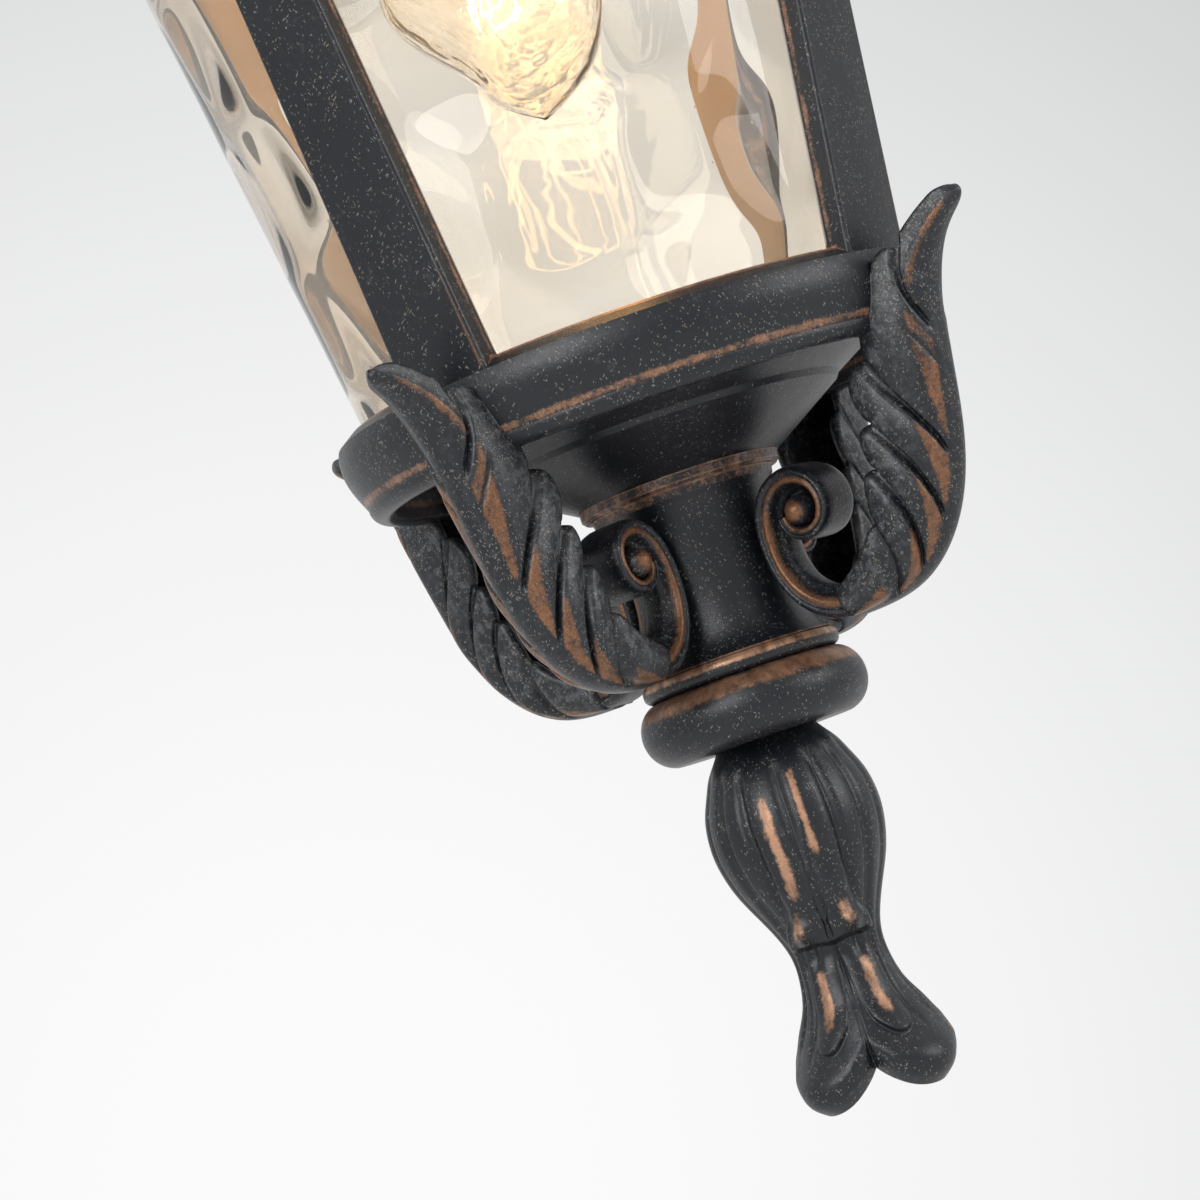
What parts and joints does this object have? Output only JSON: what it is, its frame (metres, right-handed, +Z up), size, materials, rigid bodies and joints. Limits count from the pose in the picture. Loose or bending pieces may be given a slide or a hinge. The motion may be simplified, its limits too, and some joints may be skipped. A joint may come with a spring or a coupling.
{
  "type": "chain hanging lantern",
  "caption": "Round tapered outdoor lantern hung on an oval link chain, with a caged amber glass, leaf and scroll brackets and a petal finial.",
  "frame": {"origin": "centre of the ceiling face of the mounting strap, between its two slots", "axes": "+Z up into the ceiling along the chain, +X along the strap; the front window faces -Y and the posts stand at 45 degrees"},
  "size_m": [0.2512, 0.2512, 0.8444],
  "materials": {
    "bead_ring": "cast aluminium, bluish black satin powder coat with copper rubbed edges",
    "bottom_neck": "cast aluminium, bluish black satin powder coat with copper rubbed edges",
    "bottom_pan": "cast aluminium, bluish black satin powder coat with copper rubbed edges",
    "bracket_screws": "bluish black satin powder coat with copper rubbed edges",
    "bulb_cap": "rolled brass cap",
    "bulb_filament": "drawn wire, glowing when lit",
    "bulb_glass": "clear blown glass",
    "bulb_stem": "clear drawn glass",
    "cage": "cast aluminium, bluish black satin powder coat with copper rubbed edges",
    "canopy": "cast aluminium, bluish black satin powder coat with copper rubbed edges",
    "canopy_collar": "cast aluminium, bluish black satin powder coat with copper rubbed edges",
    "canopy_loop": "bluish black satin powder coat with copper rubbed edges",
    "canopy_nipple": "zinc plated",
    "centre_contact": "pressed brass",
    "chain_link_1": "bluish black satin powder coat with copper rubbed edges",
    "chain_link_2": "bluish black satin powder coat with copper rubbed edges",
    "chain_link_3": "bluish black satin powder coat with copper rubbed edges",
    "chain_link_4": "bluish black satin powder coat with copper rubbed edges",
    "chain_link_5": "bluish black satin powder coat with copper rubbed edges",
    "chain_link_6": "bluish black satin powder coat with copper rubbed edges",
    "chain_link_7": "bluish black satin powder coat with copper rubbed edges",
    "finial": "cast aluminium, bluish black satin powder coat with copper rubbed edges",
    "glass_chimney": "champagne tinted clear glass, hammered outside",
    "ground_screw": "green dyed steel",
    "lamp_bracket": "zinc plated",
    "lampholder": "glazed white porcelain",
    "lampholder_shell": "pressed brass",
    "lantern_loop": "bluish black satin powder coat with copper rubbed edges",
    "leaf_bracket_back_left": "cast aluminium, bluish black satin powder coat with copper rubbed edges",
    "leaf_bracket_back_right": "cast aluminium, bluish black satin powder coat with copper rubbed edges",
    "leaf_bracket_front_left": "cast aluminium, bluish black satin powder coat with copper rubbed edges",
    "leaf_bracket_front_right": "cast aluminium, bluish black satin powder coat with copper rubbed edges",
    "lower_glass_gasket": "moulded silicone ring",
    "mounting_strap": "zinc plated",
    "pan_screws": "black oxide",
    "roof": "cast aluminium, bluish black satin powder coat with copper rubbed edges",
    "roof_ball_nuts": "bluish black satin powder coat with copper rubbed edges",
    "roof_crown": "cast aluminium, bluish black satin powder coat with copper rubbed edges",
    "roof_studs": "bluish black satin powder coat with copper rubbed edges",
    "stem_locknut": "zinc plated",
    "stem_nipple": "zinc plated",
    "strap_locknut": "zinc plated",
    "tie_rod": "zinc plated",
    "tie_rod_nut": "zinc plated",
    "tie_rod_washer": "zinc plated",
    "torus_collar": "cast aluminium, bluish black satin powder coat with copper rubbed edges",
    "upper_glass_gasket": "moulded silicone ring"
  },
  "bodies": {
    "ceiling_mount": {"mounting_strap": "mounting_strap", "ground_screw": "ground_screw", "canopy_nipple": "canopy_nipple", "strap_locknut": "strap_locknut", "canopy": "canopy", "canopy_loop": "canopy_loop", "canopy_collar": "canopy_collar"},
    "link_1": {"chain_link_1": "chain_link_1"},
    "link_2": {"chain_link_2": "chain_link_2"},
    "link_3": {"chain_link_3": "chain_link_3"},
    "link_4": {"chain_link_4": "chain_link_4"},
    "link_5": {"chain_link_5": "chain_link_5"},
    "link_6": {"chain_link_6": "chain_link_6"},
    "link_7": {"chain_link_7": "chain_link_7"},
    "lantern": {"bead_ring": "bead_ring", "bottom_neck": "bottom_neck", "bottom_pan": "bottom_pan", "bracket_screws": "bracket_screws", "bulb_cap": "bulb_cap", "bulb_filament": "bulb_filament", "bulb_glass": "bulb_glass", "bulb_stem": "bulb_stem", "cage": "cage", "centre_contact": "centre_contact", "finial": "finial", "glass_chimney": "glass_chimney", "lamp_bracket": "lamp_bracket", "lampholder": "lampholder", "lampholder_shell": "lampholder_shell", "lantern_loop": "lantern_loop", "leaf_bracket_back_left": "leaf_bracket_back_left", "leaf_bracket_back_right": "leaf_bracket_back_right", "leaf_bracket_front_left": "leaf_bracket_front_left", "leaf_bracket_front_right": "leaf_bracket_front_right", "lower_glass_gasket": "lower_glass_gasket", "pan_screws": "pan_screws", "roof": "roof", "roof_ball_nuts": "roof_ball_nuts", "roof_crown": "roof_crown", "roof_studs": "roof_studs", "stem_locknut": "stem_locknut", "stem_nipple": "stem_nipple", "tie_rod": "tie_rod", "tie_rod_nut": "tie_rod_nut", "tie_rod_washer": "tie_rod_washer", "torus_collar": "torus_collar", "upper_glass_gasket": "upper_glass_gasket"}
  },
  "joints": [
    {"name": "link_1_swing", "type": "hinge", "parent": "ceiling_mount", "child": "link_1", "pos_m": [0, 0, -0.0514], "axis": [0, 1, 0], "range_deg": [-25, 25]},
    {"name": "link_2_swing", "type": "hinge", "parent": "link_1", "child": "link_2", "pos_m": [0, 0, -0.0867], "axis": [1, 0, 0], "range_deg": [-25, 25]},
    {"name": "link_3_swing", "type": "hinge", "parent": "link_2", "child": "link_3", "pos_m": [0, 0, -0.122], "axis": [0, 1, 0], "range_deg": [-25, 25]},
    {"name": "link_4_swing", "type": "hinge", "parent": "link_3", "child": "link_4", "pos_m": [0, 0, -0.1573], "axis": [1, 0, 0], "range_deg": [-25, 25]},
    {"name": "link_5_swing", "type": "hinge", "parent": "link_4", "child": "link_5", "pos_m": [0, 0, -0.1926], "axis": [0, 1, 0], "range_deg": [-25, 25]},
    {"name": "link_6_swing", "type": "hinge", "parent": "link_5", "child": "link_6", "pos_m": [0, 0, -0.2279], "axis": [1, 0, 0], "range_deg": [-25, 25]},
    {"name": "link_7_swing", "type": "hinge", "parent": "link_6", "child": "link_7", "pos_m": [0, 0, -0.2632], "axis": [0, 1, 0], "range_deg": [-25, 25]},
    {"name": "lantern_swing", "type": "hinge", "parent": "link_7", "child": "lantern", "pos_m": [0, 0, -0.2978], "axis": [1, 0, 0], "range_deg": [-25, 25]}
  ]
}
